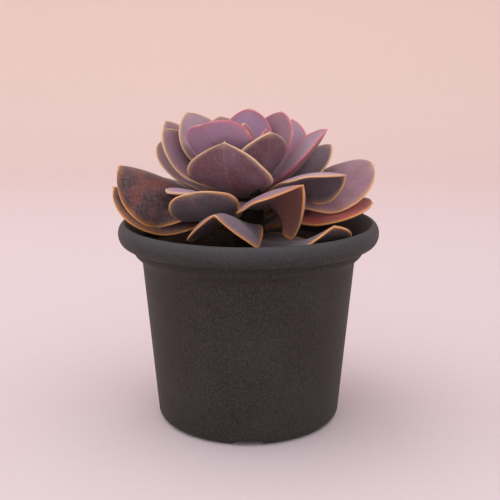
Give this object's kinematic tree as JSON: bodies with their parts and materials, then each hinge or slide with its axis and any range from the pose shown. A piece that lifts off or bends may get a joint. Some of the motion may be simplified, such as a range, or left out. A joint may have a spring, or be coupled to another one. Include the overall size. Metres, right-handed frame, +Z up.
{
  "type": "potted succulent",
  "caption": "Rosette succulent with broad spoon-shaped leaves in a round plastic nursery pot with a rolled rim, filled with potting mix.",
  "frame": {"origin": "centre of the pot's flat foot, on the surface that the pot stands on", "axes": "+Z up along the pot's axis, -Y towards the plant's front, +X to the right seen from the front"},
  "size_m": [0.1057, 0.105, 0.1255],
  "materials": {
    "pot": "matte charcoal plastic with a fine grain",
    "potting_mix": "dark crumbly potting mix",
    "stem": "dull brown-green stem",
    "heart_leaf": "pink-purple succulent leaf with a powdery bloom",
    "inner_leaf": "purple succulent leaf with a pink margin and a powdery bloom",
    "middle_leaf": "mauve succulent leaf with a cream margin and a powdery bloom",
    "outer_leaf": "brownish mauve succulent leaf with an orange margin and a powdery bloom"
  },
  "bodies": {
    "root": {"pot": "pot", "potting_mix": "potting_mix", "stem": "stem", "heart_leaf_01": "heart_leaf", "heart_leaf_02": "heart_leaf", "heart_leaf_03": "heart_leaf", "inner_leaf_01": "inner_leaf", "inner_leaf_02": "inner_leaf", "inner_leaf_03": "inner_leaf", "inner_leaf_04": "inner_leaf", "middle_leaf_01": "middle_leaf", "middle_leaf_02": "middle_leaf", "middle_leaf_03": "middle_leaf", "middle_leaf_04": "middle_leaf", "middle_leaf_05": "middle_leaf", "middle_leaf_06": "middle_leaf", "middle_leaf_07": "middle_leaf", "middle_leaf_08": "middle_leaf", "middle_leaf_09": "middle_leaf", "middle_leaf_10": "middle_leaf", "middle_leaf_11": "middle_leaf", "middle_leaf_12": "middle_leaf", "outer_leaf_01": "outer_leaf", "outer_leaf_02": "outer_leaf", "outer_leaf_03": "outer_leaf", "outer_leaf_04": "outer_leaf", "outer_leaf_05": "outer_leaf", "outer_leaf_06": "outer_leaf", "outer_leaf_07": "outer_leaf", "outer_leaf_08": "outer_leaf", "outer_leaf_09": "outer_leaf", "outer_leaf_10": "outer_leaf", "outer_leaf_11": "outer_leaf", "outer_leaf_12": "outer_leaf", "outer_leaf_13": "outer_leaf", "outer_leaf_14": "outer_leaf", "outer_leaf_15": "outer_leaf", "outer_leaf_16": "outer_leaf", "outer_leaf_17": "outer_leaf"}
  },
  "joints": []
}
